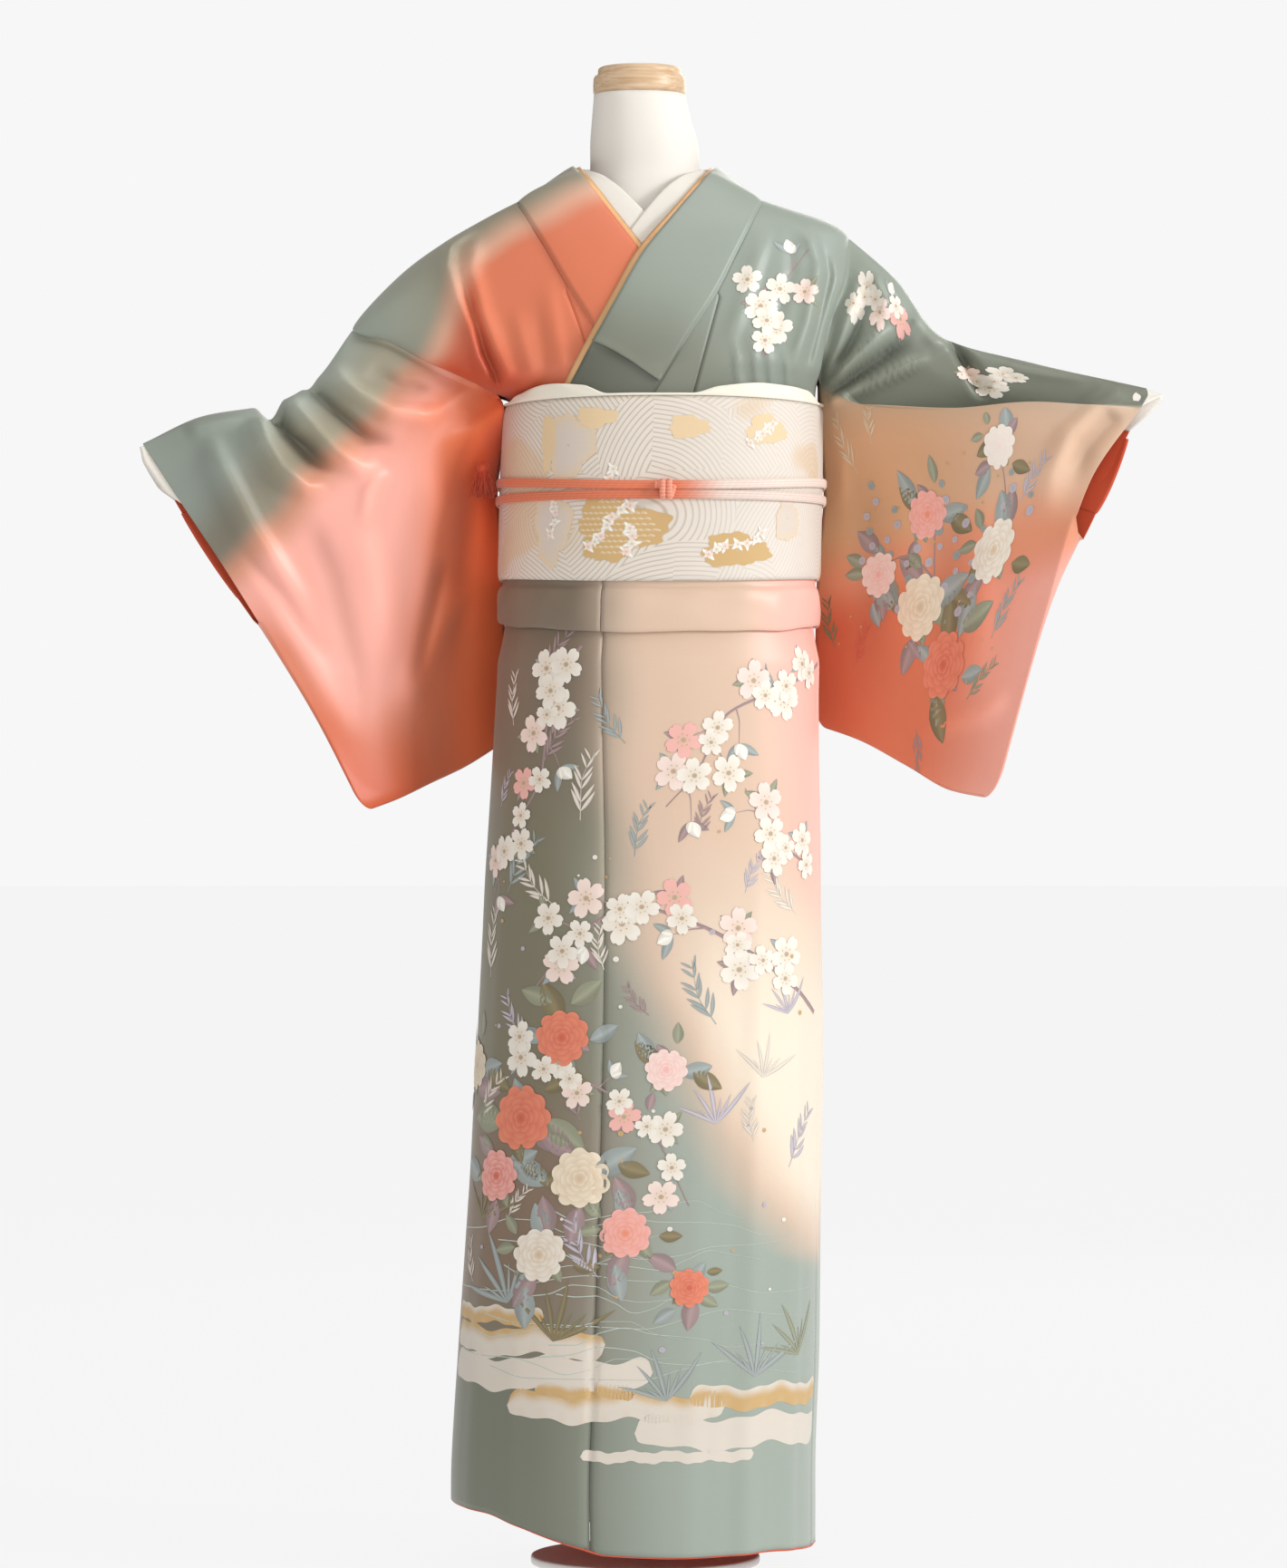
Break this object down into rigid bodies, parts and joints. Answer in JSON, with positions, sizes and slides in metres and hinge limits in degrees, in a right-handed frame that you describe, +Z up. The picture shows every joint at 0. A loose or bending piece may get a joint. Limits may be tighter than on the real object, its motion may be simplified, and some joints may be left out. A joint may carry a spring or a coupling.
{
  "type": "homongi kimono on dress form",
  "caption": "Visiting kimono worn on a limbless dress form: sleeves held out, sash, cord and box-shaped drum bow at the back, on a pole and a round base.",
  "frame": {"origin": "centre of the round base's underside, on the floor", "axes": "+Z up along the pole, the front of the garment faces -Y, and the wearer's left sleeve is at +X"},
  "size_m": [1.0581, 0.3666, 1.5685],
  "materials": {
    "form_linen": "smooth stretched linen",
    "cap_wood": "turned light wood, oiled",
    "pole_steel": "satin",
    "base_paint": "white powder coat",
    "silk_coral": "matt silk crepe, soft sheen",
    "silk_sage": "matt silk crepe, soft sheen",
    "silk_peach": "matt silk crepe, soft sheen",
    "silk_gold": "figured silk, slight gloss",
    "silk_white": "white silk crepe",
    "silk_lining": "plain silk, slight gloss",
    "silk_cream": "soft silk crepe",
    "obi_brocade": "woven silk brocade with gold",
    "cord_silk": "braided silk"
  },
  "bodies": {
    "root": {"form_body": "form_linen", "form_cap": "cap_wood", "form_pole": "pole_steel", "form_base": "base_paint", "skirt_okumi_left": "silk_sage", "skirt_front_left": "silk_peach", "skirt_back_left": "silk_peach", "skirt_back_right": "silk_sage", "skirt_front_right": "silk_sage", "skirt_okumi_right": "silk_sage", "hip_fold_okumi_left": "silk_sage", "hip_fold_front_left": "silk_peach", "hip_fold_back_left": "silk_peach", "hip_fold_back_right": "silk_sage", "body_right": "silk_coral", "body_left": "silk_sage", "chest_okumi_right": "silk_coral", "chest_okumi_left": "silk_sage", "collar": "silk_sage", "over_collar": "silk_sage", "gold_collar": "silk_gold", "inner_collar": "silk_white", "sleeve_right": "silk_coral", "sleeve_left": "silk_peach", "inner_cuff_right": "silk_white", "inner_cuff_left": "silk_white", "cuff_lining_right": "silk_lining", "cuff_lining_left": "silk_lining", "obi_wrap": "obi_brocade", "obi_drum": "obi_brocade", "obi_tail": "obi_brocade", "obi_hand": "obi_brocade", "obi_age": "silk_cream", "obi_cord_upper": "cord_silk", "obi_cord_lower": "cord_silk", "obi_cord_knot": "cord_silk", "obi_cord_tassels": "silk_lining"}
  },
  "joints": []
}
